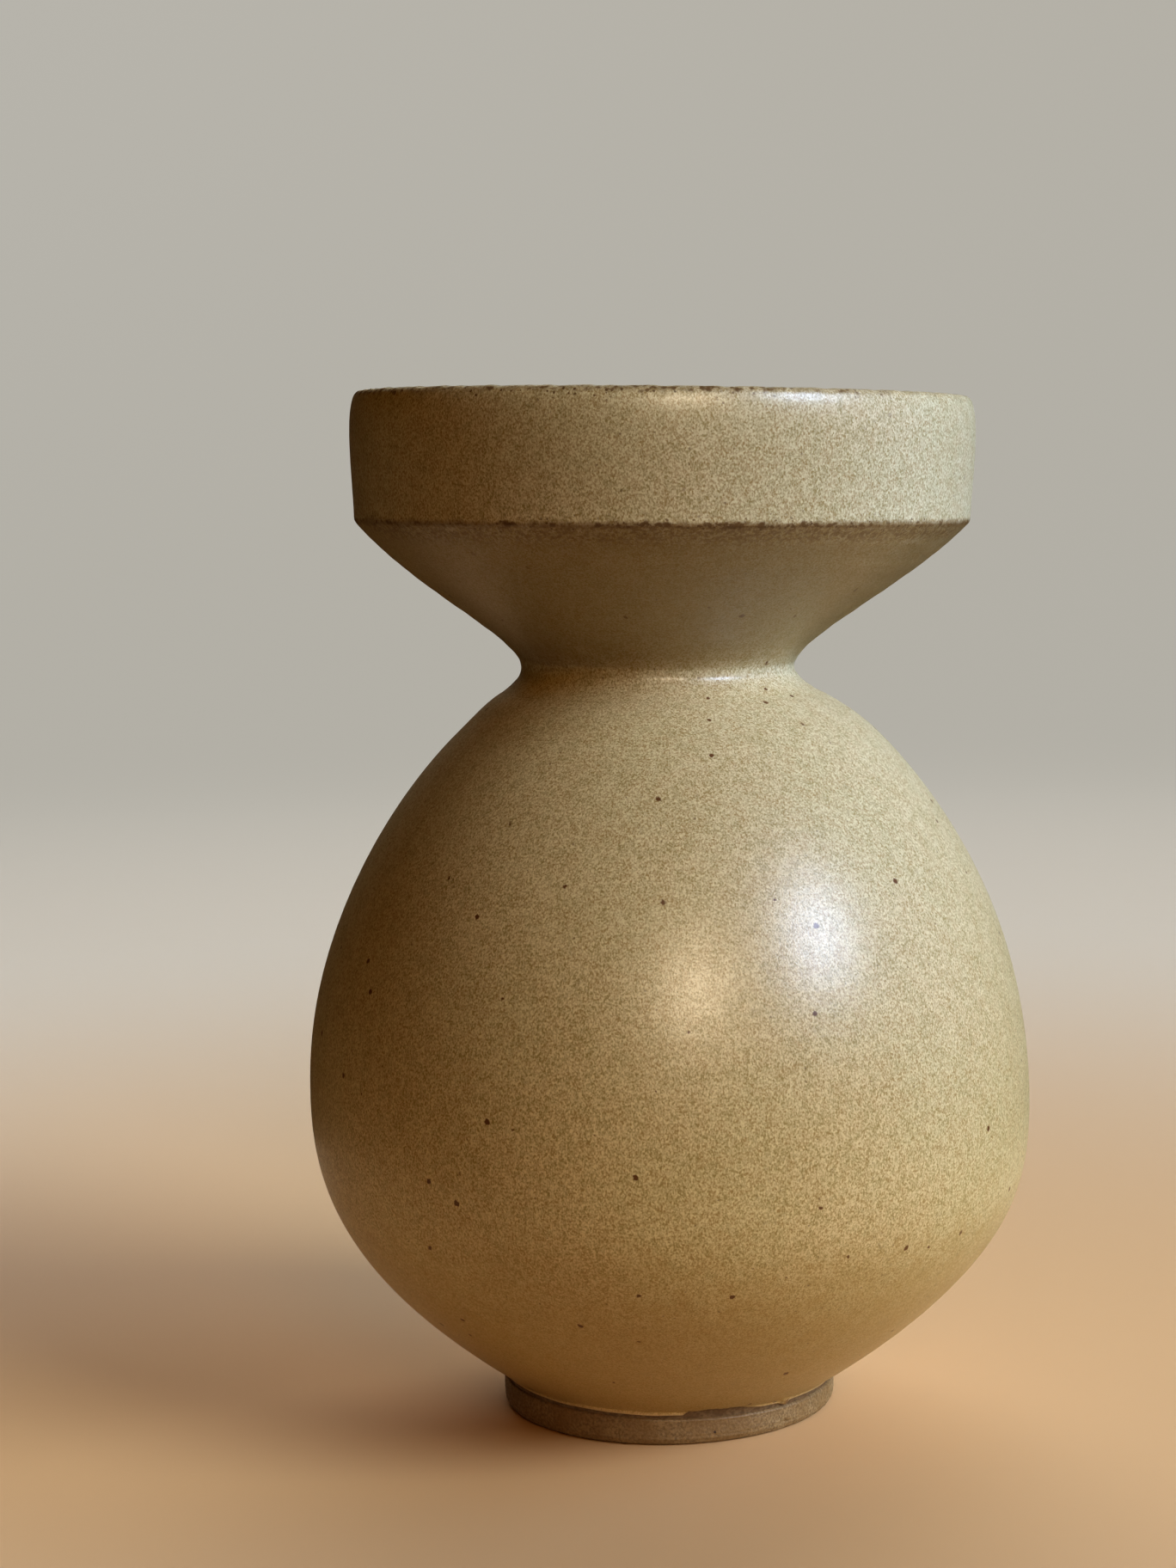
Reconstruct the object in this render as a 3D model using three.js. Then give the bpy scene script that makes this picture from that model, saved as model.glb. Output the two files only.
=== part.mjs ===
// A wheel-thrown stoneware vase, as the potter builds it. The egg-shaped belly and the flared bowl
// are thrown separately and luted together at the neck, the foot ring is luted under the belly, and
// two coats of satin glaze cover the outside and the inside down to the bare foot.
//
// Millimetres, +Z up. The origin is the centre of the face that the foot ring stands on.
// Every piece is a body of revolution about Z, so an outline is a list of [radius, height] points.

import * as THREE from 'three';

// Driving dimensions
const SEGMENTS = 40;
const GLAZE = 0.5;
const GLAZE_GAP = 0.02;
const SLIP = 0.7;

const FOOT_RADIUS = 39.4;
const FOOT_BORE_RADIUS = 29.9;
const FOOT_HEIGHT = 6.5;
const FOOT_CHAMFER = 0.6;

const BASE_RADIUS = 37.5;
const BASE_Z = FOOT_HEIGHT + SLIP;
const FLOOR_THICKNESS = 8;
const FLOOR_Z = BASE_Z + FLOOR_THICKNESS;
const FLOOR_RADIUS = 26;

const BELLY_RADIUS = 84.5;
const BELLY_Z = 75;
const BELLY_WALL = 6;
const BELLY_INNER_RADIUS = BELLY_RADIUS - BELLY_WALL;

const JOINT_RADIUS = 36.9;
const JOINT_Z = 169;
const STEP_RADIUS = 31;
const STEP_HEIGHT = 2;
const BORE_RADIUS = 26;

const NECK_RADIUS = 31.5;
const NECK_Z = 175.4;
const NECK_WALL = 6;
const THROAT_RADIUS = NECK_RADIUS - NECK_WALL;

const SHOULDER_RADIUS = 71;
const SHOULDER_Z = 209.5;
const COLLAR_TOP_RADIUS = 71.5;
const COLLAR_TOP_Z = 236;
const COLLAR_INNER_RADIUS = 66.6;
const LIP_RADIUS = 69;
const LIP_Z = 238;

const BARE_CLAY = new THREE.MeshStandardMaterial({ color: '#8b7b66', roughness: 0.85, metalness: 0 });
const SLIP_CLAY = new THREE.MeshStandardMaterial({ color: '#7a6a56', roughness: 0.9, metalness: 0 });
const SATIN_GLAZE = new THREE.MeshStandardMaterial({ color: '#c2b48c', roughness: 0.42, metalness: 0 });

// One smooth stretch of an outline: a cubic Bezier between its first and last control point.
function bend(steps, ...controls) {
  return new THREE.CubicBezierCurve(...corners(...controls)).getPoints(steps);
}

// A stretch of straight lines between corners.
function corners(...points) {
  return points.map(([radius, height]) => new THREE.Vector2(radius, height));
}

// Stretches joined end to end, with a point that two of them share kept once.
function join(...stretches) {
  const points = stretches.flat();
  return points.filter((point, i) => i === 0 || point.distanceTo(points[i - 1]) > 1e-6);
}

// The outline moved sideways by a distance, to the right of its direction of travel.
function offset(points, distance) {
  const sideways = (a, b) => new THREE.Vector2(b.y - a.y, a.x - b.x).normalize();
  return points.map((point, i) => {
    const before = sideways(points[Math.max(i - 1, 0)], points[Math.max(i, 1)]);
    const after = sideways(points[Math.min(i, points.length - 2)], points[Math.min(i + 1, points.length - 1)]);
    return point.clone().addScaledVector(before.add(after).normalize(), distance);
  });
}

// An outline swept around Z. It runs anticlockwise, and starts and ends on the axis.
function turned(name, material, outline) {
  const geometry = new THREE.LatheGeometry(outline, SEGMENTS);
  geometry.rotateX(Math.PI / 2);
  const mesh = new THREE.Mesh(geometry, material);
  mesh.name = name;
  return mesh;
}

// The same for a ring, whose outline closes on itself clear of the axis.
function ring(name, material, outline) {
  return turned(name, material, [...outline, outline[0].clone()]);
}

// The belly's outside: out from the narrow base to its widest, then in over the shoulder.
const bellyOutside = join(
  bend(5, [BASE_RADIUS, BASE_Z], [81.6, 36.6], [BELLY_RADIUS, 56.3], [BELLY_RADIUS, BELLY_Z]),
  bend(5, [BELLY_RADIUS, BELLY_Z], [BELLY_RADIUS, 127.6], [48.7, 163.4], [JOINT_RADIUS, JOINT_Z]),
);

// The belly's inside, from the middle of the floor up to the mouth that the bowl sits on.
const bellyInside = join(
  corners([0, FLOOR_Z], [FLOOR_RADIUS, FLOOR_Z]),
  bend(4, [FLOOR_RADIUS, FLOOR_Z], [68, 26], [BELLY_INNER_RADIUS, 52], [BELLY_INNER_RADIUS, BELLY_Z]),
  bend(5, [BELLY_INNER_RADIUS, BELLY_Z], [BELLY_INNER_RADIUS, 123], [45, 158], [BORE_RADIUS, 164.5]),
  corners([BORE_RADIUS, JOINT_Z + STEP_HEIGHT]),
);

// The bowl's outside: the tight waist of the neck, the flare, the sharp shoulder and the collar.
const bowlOutside = join(
  bend(2, [35.9, JOINT_Z + SLIP], [32.7, 172], [NECK_RADIUS, 173.6], [NECK_RADIUS, NECK_Z]),
  bend(5, [NECK_RADIUS, NECK_Z], [NECK_RADIUS, 182.6], [56.8, 193.8], [SHOULDER_RADIUS, SHOULDER_Z]),
  bend(3, [SHOULDER_RADIUS, SHOULDER_Z], [71.2, 218], [73, 227], [COLLAR_TOP_RADIUS, COLLAR_TOP_Z]),
  bend(2, [COLLAR_TOP_RADIUS, COLLAR_TOP_Z], [71.3, 237.4], [70.6, LIP_Z], [LIP_RADIUS, LIP_Z]),
);

// The bowl's inside, from the throat up to the middle of the lip.
const bowlInside = join(
  corners([BORE_RADIUS, JOINT_Z + STEP_HEIGHT + SLIP], [THROAT_RADIUS, NECK_Z + 1]),
  bend(4, [THROAT_RADIUS, NECK_Z + 1], [THROAT_RADIUS, 188], [53, 198.5], [63.5, 211]),
  bend(2, [63.5, 211], [65.6, 213.5], [66.3, 217], [66.4, 221]),
  bend(2, [COLLAR_INNER_RADIUS, 235.6], [COLLAR_INNER_RADIUS, 237.4], [67.6, LIP_Z], [LIP_RADIUS, LIP_Z]),
);

function belly() {
  const mouth = corners([STEP_RADIUS, JOINT_Z], [STEP_RADIUS, JOINT_Z + STEP_HEIGHT]);
  const base = corners([0, BASE_Z]);
  return turned('belly', BARE_CLAY, join(base, bellyOutside, mouth, [...bellyInside].reverse()));
}

function flaredBowl() {
  const seat = corners(
    [STEP_RADIUS + SLIP, JOINT_Z + STEP_HEIGHT + SLIP],
    [STEP_RADIUS + SLIP, JOINT_Z + SLIP],
  );
  const inside = [...bowlInside].reverse().slice(1);
  return ring('flared_bowl', BARE_CLAY, join(bowlOutside, inside, seat));
}

function footRing() {
  return ring('foot_ring', BARE_CLAY, corners(
    [FOOT_BORE_RADIUS + FOOT_CHAMFER, 0],
    [FOOT_RADIUS - FOOT_CHAMFER, 0],
    [FOOT_RADIUS, FOOT_CHAMFER],
    [FOOT_RADIUS, FOOT_HEIGHT - FOOT_CHAMFER],
    [FOOT_RADIUS - FOOT_CHAMFER, FOOT_HEIGHT],
    [FOOT_BORE_RADIUS, FOOT_HEIGHT],
    [FOOT_BORE_RADIUS, FOOT_CHAMFER],
  ));
}

// The luting slip fills the stepped gap between the belly's mouth and the bowl's neck.
function neckSlipJoint() {
  return ring('neck_slip_joint', SLIP_CLAY, join(
    corners(
      [BORE_RADIUS, JOINT_Z + STEP_HEIGHT],
      [STEP_RADIUS, JOINT_Z + STEP_HEIGHT],
      [STEP_RADIUS, JOINT_Z],
    ),
    [bellyOutside.at(-1), bowlOutside[0]],
    corners(
      [STEP_RADIUS + SLIP, JOINT_Z + SLIP],
      [STEP_RADIUS + SLIP, JOINT_Z + STEP_HEIGHT + SLIP],
      [BORE_RADIUS, JOINT_Z + STEP_HEIGHT + SLIP],
    ),
  ));
}

function footSlipJoint() {
  return ring('foot_slip_joint', SLIP_CLAY, corners(
    [FOOT_BORE_RADIUS + FOOT_CHAMFER, FOOT_HEIGHT],
    [BASE_RADIUS, FOOT_HEIGHT],
    [BASE_RADIUS, BASE_Z],
    [FOOT_BORE_RADIUS + FOOT_CHAMFER, BASE_Z],
  ));
}

// Each glaze coat follows the clay a hair's breadth clear of it, so that their faces never cross.
function outerGlaze() {
  const clay = join(bellyOutside, bowlOutside);
  return ring('outer_glaze', SATIN_GLAZE, [...offset(clay, GLAZE), ...offset(clay, GLAZE_GAP).reverse()]);
}

function linerGlaze() {
  const clay = join(bellyInside, bowlInside);
  return turned('liner_glaze', SATIN_GLAZE, [...offset(clay, -GLAZE_GAP), ...offset(clay, -GLAZE).reverse()]);
}

const vase = new THREE.Group();
vase.add(
  belly(),
  flaredBowl(),
  footRing(),
  neckSlipJoint(),
  footSlipJoint(),
  outerGlaze(),
  linerGlaze(),
);

export default vase;
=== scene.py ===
"""The looks of a hand-thrown stoneware vase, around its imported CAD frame.

Metres, +Z up, the foot standing on z = 0. Every clay body, slip joint and glaze coat of the frame
is stood for by a finely turned piece of the same size, with the small unevenness of a thrown pot.
An outline is an array of (radius, height) points, and a turned piece is its outline swept around Z.
The vase's front faces -Y. An angle around it is measured from +X, towards +Y.
"""
import math

import bpy
import numpy as np
from mathutils import Matrix, Vector, noise


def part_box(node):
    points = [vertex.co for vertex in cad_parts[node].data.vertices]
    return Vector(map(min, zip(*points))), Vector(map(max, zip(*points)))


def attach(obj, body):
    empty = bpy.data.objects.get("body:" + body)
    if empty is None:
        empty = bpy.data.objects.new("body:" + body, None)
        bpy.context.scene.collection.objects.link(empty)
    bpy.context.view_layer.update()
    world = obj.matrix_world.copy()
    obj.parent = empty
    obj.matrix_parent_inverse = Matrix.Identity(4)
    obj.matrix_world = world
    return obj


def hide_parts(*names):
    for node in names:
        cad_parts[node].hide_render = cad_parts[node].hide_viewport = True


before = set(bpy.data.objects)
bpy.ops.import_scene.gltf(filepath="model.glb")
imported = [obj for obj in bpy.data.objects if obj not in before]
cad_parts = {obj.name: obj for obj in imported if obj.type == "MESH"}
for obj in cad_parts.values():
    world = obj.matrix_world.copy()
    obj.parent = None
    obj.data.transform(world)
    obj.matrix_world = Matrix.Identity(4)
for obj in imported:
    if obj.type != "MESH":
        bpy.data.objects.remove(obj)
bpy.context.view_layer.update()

MM = 0.001
SIDES = 360
HIDDEN_SIDES = 120

# The frame's sizes, with the belly's base radius, its widest place and the bowl's sharp shoulder as
# shares of them
BELLY_LOW, BELLY_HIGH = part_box("belly")
BOWL_LOW, BOWL_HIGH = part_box("flared_bowl")
FOOT_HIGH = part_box("foot_ring")[1]
NECK_SLIP_LOW, NECK_SLIP_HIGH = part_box("neck_slip_joint")
FOOT_SLIP_LOW, FOOT_SLIP_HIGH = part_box("foot_slip_joint")
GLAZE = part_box("outer_glaze")[1].z - BOWL_HIGH.z
FLOOR_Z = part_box("liner_glaze")[0].z
BASE_SHARE = 0.444
WIDEST_SHARE = 0.4139
WIDEST_Z = BELLY_LOW.z + WIDEST_SHARE * (BELLY_HIGH.z - BELLY_LOW.z)
SHOULDER_SHARE = 0.5827
SHOULDER_Z = BOWL_LOW.z + SHOULDER_SHARE * (BOWL_HIGH.z - BOWL_LOW.z)
JOINT_Z = NECK_SLIP_LOW.z
SLIP = BOWL_LOW.z - JOINT_Z
STEP = NECK_SLIP_HIGH.z - BOWL_LOW.z

# Sizes that no box of the frame gives
FLOOR_RADIUS = 26 * MM
STEP_RADIUS = 31 * MM
BORE_RADIUS = 26 * MM
THROAT_RADIUS = 25.5 * MM
FOOT_WIDTH = 9.5 * MM
FOOT_EDGE = 0.9 * MM
EDGE_SOFTNESS = 0.4 * MM
UNDER_GLAZE = 0.02 * MM

# How finely outlines are measured and turned, and how many of their points the slip and the lip take
OUTLINE_STEP = 0.1 * MM
SLIP_POINTS = 6
LIP_POINTS = 120
OUTLINE_SAMPLES = 4000
SMOOTH_TURN = math.radians(5)
COARSE_TURN = math.radians(12)
CREASE = math.radians(50)

# How the pot was thrown and joined: the neck stands off the axis, the shoulder and rim are tilted, the
# belly sags, and the whole pot leans on a foot that was cut at a slant
UNEVEN_Z = 45 * MM
BEND_LOW_Z = 160 * MM
BEND_HIGH_Z = JOINT_Z + 7 * MM
NECK_OFFSET = -2.4 * MM
RIM_OFFSET = -1.4 * MM
RIM_TILT = 0.0127
SHOULDER_TILT = 0.0045
BELLY_SAG = 0.03
SAG_HEIGHT = 30 * MM
FOOT_CUT_Z = 1.5 * MM
LEAN = math.radians(1.2)
NICK = 0.05 * MM
NICK_HEIGHT = 3 * MM
NICK_WAVES = (37, 61, 97)

# How the radius swells around the pot: by which share, in how many waves, which turn with the height
SWELLS = (
    (0.003, 2, math.inf),
    (0.0012, 3, 40 * MM),
    (0.0008, 5, -23 * MM),
    (0.0006, 4, 14 * MM),
)

# How the glaze lies: the line above the foot where it stopped, its bead, drip and wiped stretch, and
# where it pulled thin. Places around the pot are in degrees from its front, positive to the right.
GLAZE_LINE_Z = 7.9 * MM
HEM = 3 * MM
HEM_REACH = 8 * MM
HEM_ROWS = 20
SCALLOP = 1.5 * MM
WIPED_START = (3, 5)
WIPED_END = (22, 32)
BEAD = 0.65 * MM
BEAD_WIDTH = 0.6 * MM
BEAD_FULLEST = -15
DRIP = 0.9 * MM
DRIP_PLACE = 40.5
DRIP_WIDTH = 1.7
SHARP_SIZE = 1.2 * MM
EDGE_REACH = 0.42 * MM
NEAR_EDGE_REACH = 3.5 * MM
LIP_LOW_Z = BOWL_HIGH.z - 12 * MM
LIP_HIGH_Z = BOWL_HIGH.z - 6 * MM

# The marks on the bare foot
TURNING_MARK = 0.04 * MM
TURNING_PITCH = 1.1 * MM
GRIT = 0.12 * MM
PIT = 0.6 * MM
PIT_PLACE = 41
PIT_Z = 1.9 * MM

# The stage, and where the camera stands before it is turned with the leaning pot
DISC_RADIUS = 0.3
CAMERA_PLACE = (-18.9 * MM, -690 * MM, 219.6 * MM)
CAMERA_PITCH = math.radians(90 - 5.96)
CAMERA_ROLL = math.radians(-0.223)
SENSOR_WIDTH = 36
FOCAL_LENGTH = 67.6


# Outlines

def corners(*points):
    """A stretch of straight lines between corners."""
    return np.array(points, float)


def bend(*controls, steps=160):
    """A smooth stretch: a cubic Bezier between its first and last control point."""
    t = np.linspace(0, 1, steps + 1)[:, None]
    a, b, c, d = corners(*controls)
    return (1 - t) ** 3 * a + 3 * (1 - t) ** 2 * t * b + 3 * (1 - t) * t ** 2 * c + t ** 3 * d


def join(*stretches):
    """Stretches joined end to end, with a point that two of them share kept once."""
    points = np.vstack(stretches)
    steps = np.linalg.norm(np.diff(points, axis=0), axis=1)
    return points[np.concatenate([[True], steps > 1e-7])]


def within(low, high, shares):
    """Points given as shares of a clay body's outer radius and of its height."""
    return [(r * high.x, low.z + z * (high.z - low.z)) for r, z in shares]


def belly_bend(*shares):
    """A smooth stretch of the belly, from shares of its outer radius and of its height."""
    return bend(*within(BELLY_LOW, BELLY_HIGH, shares))


def bowl_bend(*shares):
    """A smooth stretch of the bowl, from shares of its outer radius and of its height."""
    return bend(*within(BOWL_LOW, BOWL_HIGH, shares))


def travel(outline):
    """The distance along an outline to each of its points."""
    return np.concatenate([[0], np.cumsum(np.linalg.norm(np.diff(outline, axis=0), axis=1))])


def along(outline, distances):
    """The points at the given distances along an outline."""
    reached = travel(outline)
    return np.stack([np.interp(distances, reached, outline[:, i]) for i in (0, 1)], axis=-1)


def softened(outline, softness, step=OUTLINE_STEP):
    """The outline with its corners rounded over about the given distance."""
    even = along(outline, np.arange(0, travel(outline)[-1], step))
    reach = int(4 * softness / step)
    weights = np.exp(-0.5 * (np.arange(-reach, reach + 1) * step / softness) ** 2)
    weights /= weights.sum()
    start = 2 * even[0] - even[reach:0:-1]
    end = 2 * even[-1] - even[-2:-reach - 2:-1]
    padded = np.vstack([start, even, end])
    return np.column_stack([np.convolve(padded[:, i], weights, "valid") for i in (0, 1)])


def turning(outline):
    """How sharply an outline turns at each point, in radians per metre, positive where it turns left."""
    slope = np.gradient(outline, axis=0)
    heading = np.unwrap(np.arctan2(slope[:, 1], slope[:, 0]))
    return np.gradient(heading, travel(outline))


def paced(outline, start, end, step, turn=SMOOTH_TURN):
    """Distances along an outline from start to end, a step apart, and closer where it bends."""
    distances = np.linspace(start, end, OUTLINE_SAMPLES)
    rate = 1 / step + np.abs(turning(along(outline, distances))) / turn
    count = np.concatenate([[0], np.cumsum(0.5 * (rate[1:] + rate[:-1]) * np.diff(distances))])
    return np.interp(np.linspace(0, count[-1], math.ceil(count[-1]) + 1), count, distances)


def right_of(outline, distances):
    """The direction square to an outline, to the right of its travel, at the given distances."""
    reached = travel(outline)
    slope = np.gradient(outline, axis=0)
    square = np.column_stack([slope[:, 1], -slope[:, 0]])
    there = np.stack([np.interp(distances, reached, square[:, i]) for i in (0, 1)], axis=-1)
    return there / np.linalg.norm(there, axis=-1, keepdims=True)


def ramp(value, start, end):
    """0 at start, 1 at end, and smooth between them."""
    t = np.clip((value - start) / (end - start), 0, 1)
    return t * t * (3 - 2 * t)


def bump(value, middle, width):
    """1 at the middle, falling away over about the width on both sides."""
    return np.exp(-((value - middle) / width) ** 2)


belly_outside = join(
    belly_bend((BASE_SHARE, 0), (0.966, 0.1795), (1, 0.2998), (1, WIDEST_SHARE)),
    belly_bend((1, WIDEST_SHARE), (1, 0.735), (0.5763, 0.9536), (0.437, 0.9878)),
)
bowl_outside = join(
    bowl_bend((0.498, 0), (0.4535, 0.0337), (0.4369, 0.0571), (0.4369, 0.0835)),
    bowl_bend((0.4369, 0.0835), (0.4369, 0.189), (0.7878, 0.3529), (0.9847, SHOULDER_SHARE)),
    bowl_bend((0.9847, SHOULDER_SHARE), (0.990, 0.72), (1.015, 0.925), (0.9845, 0.991)),
    bowl_bend((0.9845, 0.991), (0.9815, 0.998), (0.977, 1), (0.957, 1)),
)
belly_inside = join(
    corners((0, FLOOR_Z), (FLOOR_RADIUS, FLOOR_Z)),
    belly_bend((0.3077, 0.0488), (0.8047, 0.1148), (0.929, 0.2735), (0.929, WIDEST_SHARE)),
    belly_bend((0.929, WIDEST_SHARE), (0.929, 0.707), (0.5325, 0.9206), (0.3077, 0.9603)),
    corners((BORE_RADIUS, JOINT_Z + STEP)),
)
bowl_inside = join(
    corners((BORE_RADIUS, JOINT_Z + STEP + SLIP), (THROAT_RADIUS, BOWL_LOW.z + 6.7 * MM)),
    bowl_bend((0.3537, 0.0981), (0.3537, 0.2679), (0.7351, 0.4217), (0.8807, 0.6047)),
    bowl_bend((0.8807, 0.6047), (0.9098, 0.6413), (0.9196, 0.6925), (0.9209, 0.7511)),
    bowl_bend((0.9237, 0.9649), (0.9237, 0.9912), (0.9376, 1), (0.957, 1)),
)
outside = softened(join(belly_outside, bowl_outside), EDGE_SOFTNESS)
inside = softened(join(belly_inside, bowl_inside), EDGE_SOFTNESS)


# Turned bodies

def handmade(points):
    """The pot's own unevenness. All its bodies share it, so that neighbours stay in touch."""
    x, y, z = points.T
    angle = np.arctan2(y, x)
    free = ramp(z, FOOT_HIGH.z, UNEVEN_Z)
    up_collar = (z - SHOULDER_Z) / (BOWL_HIGH.z - SHOULDER_Z)
    tilt = SHOULDER_TILT + (RIM_TILT - SHOULDER_TILT) * up_collar
    swell = sum(share * np.sin(waves * angle + z / pitch) for share, waves, pitch in SWELLS)
    sway = NECK_OFFSET * ramp(z, BEND_LOW_Z, BEND_HIGH_Z)
    sway += (RIM_OFFSET - NECK_OFFSET) * ramp(z, BEND_HIGH_Z, SHOULDER_Z + 4 * MM)
    sag = BELLY_SAG * x * bump(z, WIDEST_Z, SAG_HEIGHT) * free
    dip = np.maximum(tilt, 0) * x
    nicks = sum(np.sin(waves * angle + shift) for shift, waves in enumerate(NICK_WAVES))
    nicks *= NICK * ramp(z, BOWL_HIGH.z - NICK_HEIGHT, BOWL_HIGH.z)
    scale = 1 + free * swell
    return leaning(np.column_stack([x * scale + sway, y * scale, z - sag - dip + nicks]))


def leaning(points):
    """The pot turned about the top of its foot, which was cut at a slant."""
    x, y, z = points.T
    turn = LEAN * ramp(z, FOOT_CUT_Z, FOOT_SLIP_HIGH.z)
    rise = z - FOOT_HIGH.z
    return np.column_stack([
        x * np.cos(turn) + rise * np.sin(turn),
        y,
        FOOT_HIGH.z + rise * np.cos(turn) - x * np.sin(turn),
    ])


def body(name, radius, height, ring, values=None):
    """A closed mesh from grids of radii and heights: a row of points around Z for each outline point.
    A ring's last row joins its first. Any other body starts and ends with a point on the axis."""
    rows, sides = radius.shape
    angles = 2 * np.pi * np.arange(sides) / sides
    grid = np.stack([radius * np.cos(angles), radius * np.sin(angles), height], axis=-1)
    index = np.arange(rows * sides).reshape(rows, sides)
    near = index[:-1]
    far = index[1:]
    if ring:
        near = index
        far = np.roll(index, -1, axis=0)
    quads = np.stack([near, np.roll(near, -1, axis=1), np.roll(far, -1, axis=1), far], axis=-1)
    faces = [tuple(face) for face in quads.reshape(-1, 4).tolist()]
    points = grid.reshape(-1, 3)
    if not ring:
        faces = capped(faces, index)
        points = points[sides - 1:len(points) - sides + 1]
    mesh = bpy.data.meshes.new(name)
    mesh.from_pydata(handmade(points).tolist(), [], faces)
    mesh.shade_smooth()
    mesh.set_sharp_from_angle(angle=CREASE)
    for title, grid_values in (values or {}).items():
        attribute = mesh.attributes.new(title, "FLOAT", "POINT")
        attribute.data.foreach_set("value", grid_values.astype(np.float32).ravel())
    piece = bpy.data.objects.new(name, mesh)
    bpy.context.scene.collection.objects.link(piece)
    return piece


def capped(faces, index):
    """The faces of a body whose first and last row are each one point on the axis."""
    rows, sides = index.shape
    first, last = sides - 1, (rows - 1) * sides
    kept = []
    for face in faces:
        shrunk = [min(max(corner, first), last) - first for corner in face]
        kept.append(tuple(dict.fromkeys(shrunk)))
    return kept


def turned(name, outline, step=2.5 * MM, sides=HIDDEN_SIDES, relief=None):
    """A clay body: an outline swept around Z. It closes on itself, or runs from the axis to the axis.
    relief gives how far the surface stands out, from radii, heights and angles."""
    ring = outline[0, 0] > 0
    if ring:
        outline = join(outline, outline[:1])
    rows = paced(outline, 0, travel(outline)[-1], step)
    if ring:
        rows = rows[:-1]
    points = along(outline, rows)
    radius, height = (np.repeat(points[:, i:i + 1], sides, axis=1) for i in (0, 1))
    if relief:
        angles = 2 * np.pi * np.arange(sides)[None, :] / sides
        square = right_of(outline, rows)
        push = relief(radius, height, angles)
        radius = radius + push * square[:, :1]
        height = height + push * square[:, 1:]
    return body(name, radius, height, ring)


def worn(outline, distances, width, side):
    """Where glaze pulls thin: 1 on the sharpest outer edge of the clay, fading over the width."""
    step = travel(outline)[1]
    sharp = np.clip(side * turning(outline) * SHARP_SIZE, 0, 1)
    reach = int(3 * width / step)
    spread = np.exp(-0.5 * (np.arange(-reach, reach + 1) * step / width) ** 2)
    blurred = np.convolve(sharp, spread, "same")
    return np.interp(distances, travel(outline), blurred / max(blurred.max(), 1e-9))


def coat(name, clay, start, end, side, step=1.0 * MM, sides=SIDES, hem=False, rings=0.0):
    """A glaze coat over the clay outline from start to end: a fine skin, and a plain face against
    the clay. side is 1 where the glaze lies to the right of the outline and -1 to its left.
    With a hem, the coat starts in the scalloped, beaded line where the glaze stopped."""
    angles = 2 * np.pi * np.arange(sides) / sides
    rows = paced(clay, start, end, step)
    if hem:
        rows = join_rows(start + HEM * np.linspace(0, 1, HEM_ROWS) ** 2, rows)
    inner_rows = paced(clay, start, end, 4 * step, COARSE_TURN)
    where, where_inner = (np.repeat(r[:, None], sides, axis=1) for r in (rows, inner_rows))
    thick = np.full(where.shape, GLAZE)
    if hem:
        slide = scallop(angles)
        where = where + slide * (1 - ramp(where, start, start + HEM_REACH))
        where_inner = where_inner + slide * (1 - ramp(where_inner, start, start + HEM_REACH))
        thick = hemmed(rows - start, angles)
    skin = along(clay, where)
    values = coat_values(clay, start, rows, skin[..., 1], angles, side, hem)
    thick = thick + rings * throwing(skin[..., 1], angles)
    skin = skin + side * thick[..., None] * right_of(clay, where)
    face = along(clay, where_inner) + side * UNDER_GLAZE * right_of(clay, where_inner)
    grid = np.concatenate([skin, face[::-1]])
    values = {title: np.concatenate([v, np.zeros(where_inner.shape)]) for title, v in values.items()}
    if side > 0:
        grid = grid[::-1]
        values = {title: v[::-1] for title, v in values.items()}
    return body(name, grid[..., 0], grid[..., 1], True, values)


def coat_values(clay, start, rows, height, angles, side, hem):
    """What the glaze shader reads from a coat's skin: how near it is to a sharp edge and whether it
    pooled. Near the lip both edge values are weaker than on the shoulder, and weakest at the right."""
    spared = 0.7 - 0.28 * np.cos(angles + np.radians(120))
    full = 1 - spared * ramp(height, LIP_LOW_Z, LIP_HIGH_Z)
    values = {
        "edge": full * worn(clay, rows, EDGE_REACH, side)[:, None],
        "near_edge": full * worn(clay, rows, NEAR_EDGE_REACH, side)[:, None],
        "pooled": np.zeros(height.shape),
    }
    if hem:
        values["edge"] = np.maximum(values["edge"], burnt(rows - start, angles))
        values["pooled"] = beaded(rows - start, angles)
    return values


def join_rows(close, rows):
    """Rows set close together at the start, followed by the even ones."""
    return np.concatenate([close, rows[rows > close[-1] + 0.2 * MM]])


def from_front(angles):
    """Degrees around the vase from its front, positive to the right as the front is looked at."""
    turn = np.degrees(angles + np.pi / 2) % 360
    return np.where(turn > 180, turn - 360, turn)


def wiped(angles):
    """1 along the stretch where the wet glaze line was wiped with a sponge."""
    turn = from_front(angles)
    return ramp(turn, *WIPED_START) * (1 - ramp(turn, *WIPED_END))


def blob(distance, angles):
    """The drip of dark glaze that stands on the glaze line."""
    around = bump(from_front(angles), DRIP_PLACE, DRIP_WIDTH)[None, :]
    return around * bump(distance, 1.0 * MM, 1.0 * MM)[:, None]


def scallop(angles):
    """How far up the belly the glaze line was wiped, around the foot."""
    turn = from_front(angles)
    uneven = 0.12 * np.sin(9 * angles + 1) + 0.08 * np.sin(23 * angles)
    behind = 0.7 * bump(turn, -130, 14) + 0.5 * bump(turn, 150, 8)
    return SCALLOP * (wiped(angles) * (1 + 0.25 * np.sin(np.radians(turn) * 40)) + behind + uneven)


def beaded(distance, angles):
    """The bead that glaze gathers in at the glaze line: fullest left of the front, gone where wiped."""
    full = (0.45 + 0.55 * bump(from_front(angles), BEAD_FULLEST, 32)) * (1 - wiped(angles))
    return bump(distance, 0.6 * MM, 0.45 * MM)[:, None] * full[None, :]


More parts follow.
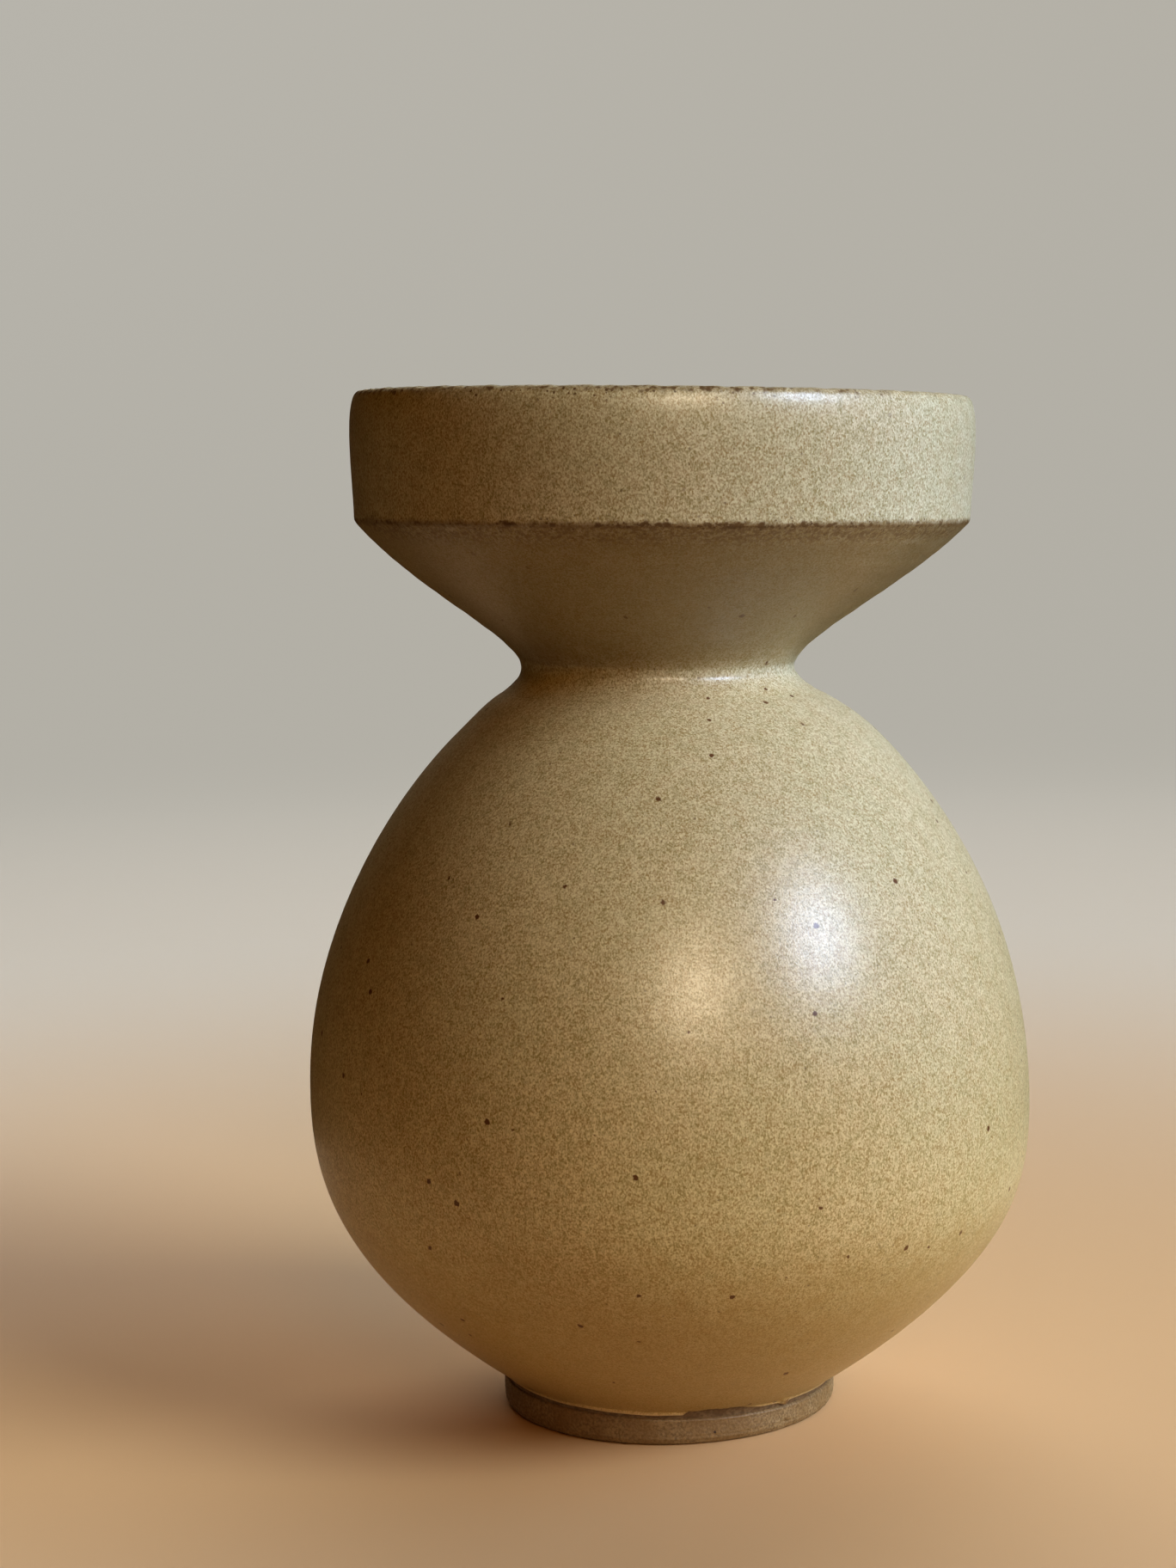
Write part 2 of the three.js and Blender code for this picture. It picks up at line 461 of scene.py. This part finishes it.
def hemmed(distance, angles):
    """The coat's thickness near the glaze line, where it rolls down to the clay in a bead."""
    roll = np.clip(distance / BEAD_WIDTH, 0, 1)[:, None]
    rounded = np.sqrt(1 - (1 - roll) ** 2)
    return (GLAZE + BEAD * beaded(distance, angles) + DRIP * blob(distance, angles)) * rounded


def burnt(distance, angles):
    """Where the coat's hem fired brown: along the wiped stretch and on the drip."""
    thin = wiped(angles)[None, :] * bump(distance, 0.2 * MM, 0.7 * MM)[:, None]
    return np.clip(thin + 1.5 * blob(distance, angles), 0, 1)


def throwing(height, angles):
    """The faint spiral ridges that fingers leave on a thrown wall, from -1 to 1."""
    spiral = 2 * np.pi * height / (5.2 * MM) + angles
    broken = 0.6 + 0.4 * np.sin(height / (9 * MM) + 2 * angles)
    return broken * np.sin(spiral) + 0.4 * np.sin(2 * np.pi * height / (2.3 * MM) + angles + 1)


# The clay bodies and the slip that joins them

def clay_to_joint():
    """How far along the outside the belly ends, and how far along the inside."""
    outer = np.argmax(outside[:, 1] > JOINT_Z)
    inner = np.argmax(inside[:, 1] > JOINT_Z + STEP)
    return outer, inner


def belly_clay():
    """The lower pot, from the middle of its base up to the stepped mouth and back down inside."""
    outer, inner = clay_to_joint()
    base = corners((0, BELLY_LOW.z))
    mouth = corners((STEP_RADIUS, JOINT_Z), (STEP_RADIUS, JOINT_Z + STEP))
    return turned("belly_clay", join(base, outside[:outer], mouth, inside[:inner][::-1]))


def bowl_clay():
    """The neck, flare and collar, which sit on the belly's mouth."""
    outer, inner = clay_to_joint()
    seat = corners((STEP_RADIUS + SLIP, JOINT_Z + STEP + SLIP), (STEP_RADIUS + SLIP, JOINT_Z + SLIP))
    return turned("bowl_clay", join(outside[outer + SLIP_POINTS:], inside[inner + SLIP_POINTS:][::-1], seat))


def foot_relief(radius, height, angles):
    """Turning marks, grit and one small pit on the bare foot, but not where it rests."""
    marks = TURNING_MARK * np.sin(2 * np.pi * height / TURNING_PITCH + angles)
    pit = bump(from_front(angles), PIT_PLACE, 1.3) * bump(height, PIT_Z, 0.8 * MM)
    pit = pit * (radius > FOOT_HIGH.x - FOOT_EDGE)
    grit = np.zeros(radius.shape)
    for row in range(radius.shape[0]):
        for side in range(radius.shape[1]):
            r, z, a = radius[row, side], height[row, side], angles[0, side]
            place = Vector((r * math.cos(a), r * math.sin(a), z))
            grit[row, side] = noise.noise(place / (2.2 * MM)) + 0.5 * noise.noise(place / (0.9 * MM))
    above_rest = ramp(height, 0.2 * MM, 0.5 * MM)
    return above_rest * (marks + GRIT * grit - PIT * pit)


def foot_clay():
    """The foot ring, rounded over where it meets the floor outside."""
    r, bore, top, edge = FOOT_HIGH.x, FOOT_HIGH.x - FOOT_WIDTH, FOOT_HIGH.z, FOOT_EDGE
    ring = join(
        corners((bore + edge, 0)),
        bend((r - 2.2 * edge, 0), (r - 0.8 * edge, 0), (r, 1.2 * edge), (r, 2.8 * edge), steps=12),
        bend((r, top - edge), (r, top - 0.4 * edge), (r - 0.4 * edge, top), (r - edge, top), steps=12),
        corners((bore, top), (bore, edge)),
    )
    return turned("foot_ring_clay", ring, step=0.5 * MM, sides=SIDES, relief=foot_relief)


def foot_slip():
    """The slip under the belly, pulled up into a small fillet outside."""
    r, low, high = FOOT_HIGH.x, FOOT_SLIP_LOW.z, FOOT_SLIP_HIGH.z
    fillet = bend(
        (r - 0.5 * MM, low - 0.2 * MM), (r - 0.35 * MM, low + 0.7 * MM),
        (r + 0.2 * MM, low + 1.6 * MM), (r + 1.6 * MM, low + 2.9 * MM), steps=12,
    )
    bore = r - FOOT_WIDTH + FOOT_EDGE
    ring = join(corners((bore, low)), fillet, corners((BELLY_HIGH.x * BASE_SHARE, high), (bore, high)))
    return turned("foot_slip", ring, step=0.8 * MM, sides=SIDES)


def neck_slip():
    """The slip in the stepped seat between the belly's mouth and the bowl."""
    outer = clay_to_joint()[0]
    ring = join(
        corners((BORE_RADIUS, JOINT_Z + STEP), (STEP_RADIUS, JOINT_Z + STEP), (STEP_RADIUS, JOINT_Z)),
        outside[outer:outer + SLIP_POINTS],
        corners((STEP_RADIUS + SLIP, JOINT_Z + SLIP), (STEP_RADIUS + SLIP, JOINT_Z + STEP + SLIP)),
        corners((BORE_RADIUS, JOINT_Z + STEP + SLIP)),
    )
    return turned("neck_slip", ring)


# The glaze coats

def outer_coats():
    """The outer glaze in four pieces: two on the belly, the flare, and the collar with half the lip."""
    reached = travel(outside)
    line = np.interp(GLAZE_LINE_Z, outside[:, 1], reached)
    widest = reached[np.argmax(np.where(outside[:, 1] < JOINT_Z, outside[:, 0], 0))]
    joint = reached[clay_to_joint()[0]]
    sharpest = np.argmax(np.where(outside[:, 1] > JOINT_Z, turning(outside), 0)[:-LIP_POINTS])
    shoulder = reached[sharpest]
    return [
        coat("belly_glaze_lower", outside, line, widest, 1, hem=True, rings=0.012 * MM),
        coat("belly_glaze_upper", outside, widest, joint, 1, rings=0.012 * MM),
        coat("flare_glaze", outside, joint, shoulder, 1, step=0.8 * MM, rings=0.045 * MM),
        coat("collar_glaze", outside, shoulder, reached[-1], 1, step=0.8 * MM, rings=0.008 * MM),
    ]


def liner_coats():
    """The inner glaze in two pieces, inside the belly and inside the bowl."""
    reached = travel(inside)
    joint = reached[clay_to_joint()[1]]
    floor = 0.2 * MM
    return [
        coat("belly_liner", inside, floor, joint, -1, step=2 * MM, sides=180, rings=0.15 * MM),
        coat("bowl_liner", inside, joint, reached[-1], -1, rings=0.1 * MM),
    ]


# Materials

class Shader:
    """A procedural material, with a short call for each kind of node that the finishes use."""

    def __init__(self, name):
        self.material = bpy.data.materials.new(name)
        self.material.use_nodes = True
        self.tree = self.material.node_tree
        self.surface = self.tree.nodes["Principled BSDF"]
        self.place = self.tree.nodes.new("ShaderNodeTexCoord").outputs["Object"]

    def put(self, socket, value):
        if isinstance(value, bpy.types.NodeSocket):
            self.tree.links.new(value, socket)
        else:
            socket.default_value = value

    def node(self, kind, *values, **settings):
        made = self.tree.nodes.new(kind)
        for title, setting in settings.items():
            setattr(made, title, setting)
        for socket, value in zip(made.inputs, values):
            if value is not None:
                self.put(socket, value)
        return made

    def math(self, operation, *values):
        return self.node("ShaderNodeMath", *values, operation=operation).outputs[0]

    def times(self, place, scale):
        return self.node("ShaderNodeVectorMath", place, scale, operation="MULTIPLY").outputs[0]

    def height(self):
        return self.node("ShaderNodeSeparateXYZ", self.place).outputs["Z"]

    def noise(self, size, detail=2.0, place=None):
        made = self.node("ShaderNodeTexNoise")
        self.put(made.inputs["Vector"], place or self.place)
        made.inputs["Scale"].default_value = 1 / size
        made.inputs["Detail"].default_value = detail
        return made

    def grain(self, size, detail=2.0, place=None):
        return self.noise(size, detail, place).outputs["Fac"]

    def shaken(self, size, distance):
        """Coordinates moved about a little, so that what is drawn in them has uneven edges."""
        shift = self.node("ShaderNodeVectorMath", self.noise(size).outputs["Color"], (0.5, 0.5, 0.5),
                          operation="SUBTRACT").outputs[0]
        shift = self.times(shift, (distance, distance, distance))
        return self.node("ShaderNodeVectorMath", self.place, shift, operation="ADD").outputs[0]

    def ramp(self, value, low, high, bottom=0.0, top=1.0):
        return self.node("ShaderNodeMapRange", value, low, high, bottom, top,
                         interpolation_type="SMOOTHSTEP").outputs[0]

    def cells(self, spacing, place):
        """Scattered cells: the distance from each one's middle, and a lot that each one drew."""
        made = self.node("ShaderNodeTexVoronoi")
        self.put(made.inputs["Vector"], place)
        made.inputs["Scale"].default_value = 1 / spacing
        lot = self.node("ShaderNodeSeparateColor", made.outputs["Color"]).outputs[0]
        return made.outputs["Distance"], lot

    def specks(self, spacing, size, place, share=1.0):
        """Round specks up to the given size, one to each cell of the spacing, in a share of cells."""
        distance, lot = self.cells(spacing, place)
        radius = self.ramp(lot, 1 - share, 1, 0, 0.5 * size / spacing)
        nearness = self.math("DIVIDE", distance, self.math("ADD", radius, 1e-5))
        return self.ramp(nearness, 1.0, 0.65)

    def mix(self, share, a, b):
        made = self.tree.nodes.new("ShaderNodeMix")
        made.data_type = "RGBA"
        for title, value in (("Factor_Float", share), ("A_Color", a), ("B_Color", b)):
            socket = next(s for s in made.inputs if s.identifier == title)
            self.put(socket, value)
        return next(s for s in made.outputs if s.identifier == "Result_Color")

    def attribute(self, title):
        return self.node("ShaderNodeAttribute", attribute_name=title).outputs["Fac"]

    def finish(self, colour, roughness, height, depth):
        """Sets the surface from its colour, its roughness and a height map that is depth deep."""
        self.put(self.surface.inputs["Base Color"], colour)
        self.put(self.surface.inputs["Roughness"], roughness)
        relief = self.tree.nodes.new("ShaderNodeBump")
        relief.inputs["Distance"].default_value = depth
        self.put(relief.inputs["Height"], height)
        self.put(self.surface.inputs["Normal"], relief.outputs[0])
        return self.material


def rgb(red, green, blue):
    """An opaque colour, in linear light."""
    return (red, green, blue, 1.0)


def satin_glaze():
    """Oatmeal satin glaze: fine cream and tan grain with slow drifts of hue and a painted light tint,
    painted shade in brown where the wall faces down, plain cream where it pooled, brown broken edges and
    dark specks."""
    s = Shader("satin_glaze")
    tall = s.times(s.place, (1, 1, 0.7))
    grain = s.grain(0.34 * MM, 2, tall)
    cloud = s.grain(4 * MM, 3)
    flecks = s.cells(0.38 * MM, tall)[1]
    underside_shade = painted_underside_shade(s)
    colour = oatmeal(s, grain, cloud, flecks)
    # Painted shade: golden brown low on the pot and darker brown higher up, mixed in where the wall faces
    # down, as shade lit by warm bounce from the floor.
    brown = s.mix(s.ramp(s.height(), 30 * MM, 170 * MM), rgb(0.40, 0.26, 0.075), rgb(0.28, 0.18, 0.042))
    colour = s.mix(underside_shade, colour, brown)
    colour = s.mix(s.math("MULTIPLY", s.attribute("pooled"), 0.75), colour, rgb(0.62, 0.50, 0.32))
    colour = broken_edges(s, colour, underside_shade)
    colour = dark_specks(s, colour)
    roughness = s.ramp(grain, 0.3, 0.7, 0.385, 0.335)
    height = s.math("ADD", s.math("MULTIPLY", grain, 0.5), cloud)
    return s.finish(colour, roughness, height, 0.06 * MM)


def oatmeal(s, grain, cloud, flecks):
    """Tan and cream, mixed by grain, flecks and a little by cloud, each with a drift of hue of its own.
    Over them lies painted light: a tint that is golden towards the foot, for warm bounce, and paler and
    bluer up high, for cool light from above."""
    share = s.math("ADD", s.ramp(grain, 0.36, 0.62, 0, 0.6), s.ramp(cloud, 0.35, 0.65, 0, 0.12))
    share = s.math("ADD", share, s.ramp(flecks, 0.1, 0.9, -0.1, 0.4))
    tan = s.mix(s.ramp(s.grain(3 * MM), 0.4, 0.6), rgb(0.375, 0.28, 0.128), rgb(0.345, 0.28, 0.123))
    cream = s.mix(s.ramp(s.grain(40 * MM, 1), 0.4, 0.6), rgb(0.725, 0.65, 0.465), rgb(0.705, 0.65, 0.46))
    # Painted light: warmer low down, cooler and brighter up high.
    painted_light_tint = s.mix(s.ramp(s.height(), 20 * MM, 200 * MM), rgb(0.98, 0.92, 0.74), rgb(1.14, 1.25, 1.48))
    return s.times(s.mix(share, tan, cream), painted_light_tint)


def painted_underside_shade(s):
    """Painted shade: how strongly the wall is painted darker and browner where it faces down, with a little
    noise.
    """
    normal = s.tree.nodes.new("ShaderNodeNewGeometry").outputs["Normal"]
    facing = s.node("ShaderNodeSeparateXYZ", normal).outputs["Z"]
    facing = s.math("ADD", facing, s.ramp(s.grain(5 * MM, 3), 0.3, 0.7, -0.06, 0.06))
    return s.ramp(facing, -0.12, -0.82, 0, 0.68)


def broken_edges(s, colour, underside_shade):
    """Brown where the glaze pulled thin: a soft line along a sharp edge, ragged clumps in the line,
    and mottling on the wall under it where the wall faces down, partly thin glaze and partly painted shade."""
    edge = s.attribute("edge")
    line = s.math("ADD", edge, s.ramp(s.grain(3 * MM), 0.3, 0.7, -0.25, 0.15))
    colour = s.mix(s.ramp(line, 0.05, 0.65, 0, 0.5), colour, rgb(0.22, 0.135, 0.06))
    ragged = s.math("ADD", edge, s.ramp(s.grain(1.5 * MM, 3), 0.3, 0.7, -0.8, 0.35))
    ragged = s.math("ADD", ragged, s.ramp(s.grain(18 * MM), 0.35, 0.65, -0.3, 0.1))
    colour = s.mix(s.ramp(ragged, 0.3, 0.85, 0, 0.85), colour, rgb(0.15, 0.085, 0.035))
    # Mottling under a sharp edge, only where the wall faces down: partly broken glaze, partly painted shade.
    mottled = s.math("MULTIPLY", s.ramp(s.attribute("near_edge"), 0.05, 0.45), underside_shade)
    mottled = s.math("MULTIPLY", mottled, s.ramp(s.grain(0.9 * MM, 3), 0.42, 0.6))
    return s.mix(mottled, colour, rgb(0.2, 0.12, 0.055))


def dark_specks(s, colour):
    """Pepper, thick along the sharp edges, and a few larger iron specks, fainter on the bowl."""
    shaken = s.shaken(0.7 * MM, 0.5 * MM)
    pepper = s.math("MULTIPLY", s.specks(2.4 * MM, 0.65 * MM, shaken, 0.5), 0.6)
    crowd = s.ramp(s.attribute("near_edge"), 0.35, 0.6)
    pepper = s.math("MAXIMUM", pepper, s.math("MULTIPLY", s.specks(1.1 * MM, 0.8 * MM, shaken, 0.7), crowd))
    colour = s.mix(pepper, colour, rgb(0.15, 0.09, 0.04))
    iron = s.specks(6.5 * MM, 1.7 * MM, s.shaken(0.9 * MM, 0.9 * MM), 0.75)
    iron = s.math("MULTIPLY", iron, s.ramp(s.height(), JOINT_Z, SHOULDER_Z, 0.95, 0.35))
    return s.mix(iron, colour, rgb(0.12, 0.04, 0.003))


def bare_clay():
    """Olive brown stoneware, fired without glaze, with fine grit and a few burnt specks."""
    s = Shader("bare_clay")
    grain = s.grain(0.6 * MM, 4)
    cloud = s.grain(7 * MM, 3)
    colour = s.mix(s.ramp(grain, 0.3, 0.7), rgb(0.175, 0.117, 0.052), rgb(0.33, 0.245, 0.13))
    colour = s.mix(s.ramp(cloud, 0.4, 0.62, 0, 0.6), colour, rgb(0.215, 0.135, 0.05))
    shaken = s.shaken(0.7 * MM, 0.4 * MM)
    colour = s.mix(s.specks(3.2 * MM, 0.8 * MM, shaken, 0.5), colour, rgb(0.05, 0.03, 0.018))
    height = s.math("ADD", grain, s.math("MULTIPLY", cloud, 0.6))
    return s.finish(colour, s.ramp(grain, 0.3, 0.7, 0.68, 0.5), height, 0.12 * MM)


def luting_slip():
    """The slip of the joins, a little darker and smoother than the clay."""
    s = Shader("luting_slip")
    grain = s.grain(0.9 * MM, 3)
    cloud = s.grain(4 * MM, 2)
    colour = s.mix(s.ramp(grain, 0.35, 0.65), rgb(0.14, 0.095, 0.05), rgb(0.23, 0.165, 0.095))
    colour = s.mix(s.ramp(cloud, 0.4, 0.65, 0, 0.5), colour, rgb(0.13, 0.075, 0.035))
    return s.finish(colour, s.ramp(cloud, 0.3, 0.7, 0.75, 0.6), grain, 0.08 * MM)


def dress(pieces, material, slot, *nodes):
    """Gives pieces their material, fixes them to the vase, and hides the nodes they replace. slot is not
    used.
    """
    for piece in pieces:
        piece.data.materials.append(material)
        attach(piece, "root")
        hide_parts(*nodes)


# The stage, camera and lights

def floor():
    """A pale disc, and a sweep around it that rises far behind the vase, where it glows evenly like a
    lit backdrop. The sweep throws no light on the vase."""
    disc = stage_ring("floor", corners((0, 0), (DISC_RADIUS, 0)))
    rise = bend((1.3, 0), (2.2, 0), (2.6, 0.5), (2.8, 2.6))
    sweep = stage_ring("sweep", join(corners((DISC_RADIUS, 0)), rise))
    sweep.visible_diffuse = False
    sweep.visible_glossy = False
    sweep.visible_shadow = False
    s = Shader("pale_floor")
    grain = s.ramp(s.grain(30 * MM, 3), 0.3, 0.7)
    away = s.node("ShaderNodeVectorMath", s.place, operation="LENGTH").outputs["Value"]
    colour = s.mix(s.ramp(away, 0.12, 0.75), rgb(0.72, 0.52, 0.33), rgb(0.75, 0.73, 0.70))
    backdrop = s.ramp(away, 0.35, 1.6)
    colour = s.mix(backdrop, colour, rgb(0.01, 0.01, 0.01))
    s.put(s.surface.inputs["Emission Color"], rgb(0.385, 0.37, 0.33))
    s.put(s.surface.inputs["Emission Strength"], backdrop)
    material = s.finish(colour, 0.7, grain, 0.05 * MM)
    for piece in (disc, sweep):
        piece.data.materials.append(material)


def stage_ring(name, outline, sides=96):
    """An open surface of revolution for the stage."""
    angles = 2 * np.pi * np.arange(sides) / sides
    points = [(r * math.cos(a), r * math.sin(a), z) for r, z in outline for a in angles]
    faces = []
    for row in range(len(outline) - 1):
        for side in range(sides):
            near = row * sides + side
            beside = row * sides + (side + 1) % sides
            faces.append((near, beside, beside + sides, near + sides))
    mesh = bpy.data.meshes.new(name)
    mesh.from_pydata(points, [], faces)
    mesh.shade_smooth()
    made = bpy.data.objects.new(name, mesh)
    bpy.context.scene.collection.objects.link(made)
    return made


def camera():
    """A long lens a little above the rim, looking slightly down."""
    data = bpy.data.cameras.new("camera")
    data.sensor_width = SENSOR_WIDTH
    data.lens = FOCAL_LENGTH
    data.clip_start = 0.05
    made = bpy.data.objects.new("camera", data)
    bpy.context.scene.collection.objects.link(made)
    place = Matrix.Translation(CAMERA_PLACE)
    pitch = Matrix.Rotation(CAMERA_PITCH, 4, "X")
    roll = Matrix.Rotation(CAMERA_ROLL, 4, "Z")
    foot = Matrix.Translation((0, 0, FOOT_HIGH.z))
    made.matrix_world = foot @ Matrix.Rotation(LEAN, 4, "Y") @ foot.inverted() @ place @ pitch @ roll
    bpy.context.scene.camera = made


def light(name, towards, angle, strength, colour, fills=True, gleams=True):
    """Soft light from far away, from the given direction and with the given spread. It fills, gleams in
    the glaze, or does both."""
    data = bpy.data.lights.new(name, "SUN")
    data.angle = math.radians(angle)
    data.energy = strength
    data.color = colour
    made = bpy.data.objects.new(name, data)
    made.rotation_mode = "QUATERNION"
    made.rotation_quaternion = Vector(towards).to_track_quat("Z", "Y")
    made.visible_diffuse = fills
    made.visible_glossy = gleams
    bpy.context.scene.collection.objects.link(made)


def lights():
    """A pale window and a cooler side light from the right, a weak warm lamp and a light from behind.
    What gleams of the window and of the lamp in the glaze are lights of their own."""
    window = (0.735, -0.455, 0.515)
    lamp = (0.14, -0.88, 0.455)
    light("window", window, 30, 1.74, (1.0, 0.96, 0.77), gleams=False)
    light("window_gleam", window, 16, 3.0, (0.57, 0.72, 1.0), fills=False)
    light("side", (1.0, 0.1, 0.25), 50, 1.9, (0.50, 0.70, 1.0), gleams=False)
    light("lamp", lamp, 20, 0.36, (1.0, 0.42, 0.05), gleams=False)
    light("lamp_gleam", lamp, 8, 1.45, (1.0, 0.85, 0.63), fills=False)
    light("curtain", (0.15, 0.92, 0.35), 60, 2.2, (1.0, 0.95, 0.85), gleams=False)
    world = bpy.data.worlds.new("room")
    world.use_nodes = True
    background = world.node_tree.nodes["Background"]
    background.inputs["Color"].default_value = rgb(1.0, 0.40, 0.02)
    background.inputs["Strength"].default_value = 0.028
    bpy.context.scene.world = world


camera()
lights()
floor()
clay = bare_clay()
dress([belly_clay()], clay, "bare_clay", "belly")
dress([bowl_clay()], clay, "bare_clay", "flared_bowl")
dress([foot_clay()], clay, "bare_clay", "foot_ring")
slip = luting_slip()
dress([neck_slip()], slip, "luting_slip", "neck_slip_joint")
dress([foot_slip()], slip, "luting_slip", "foot_slip_joint")
glaze = satin_glaze()
dress(outer_coats(), glaze, "satin_glaze", "outer_glaze")
dress(liner_coats(), glaze, "satin_glaze", "liner_glaze")
bpy.context.scene.view_settings.view_transform = "Standard"
bpy.context.scene.view_settings.look = "Medium High Contrast"
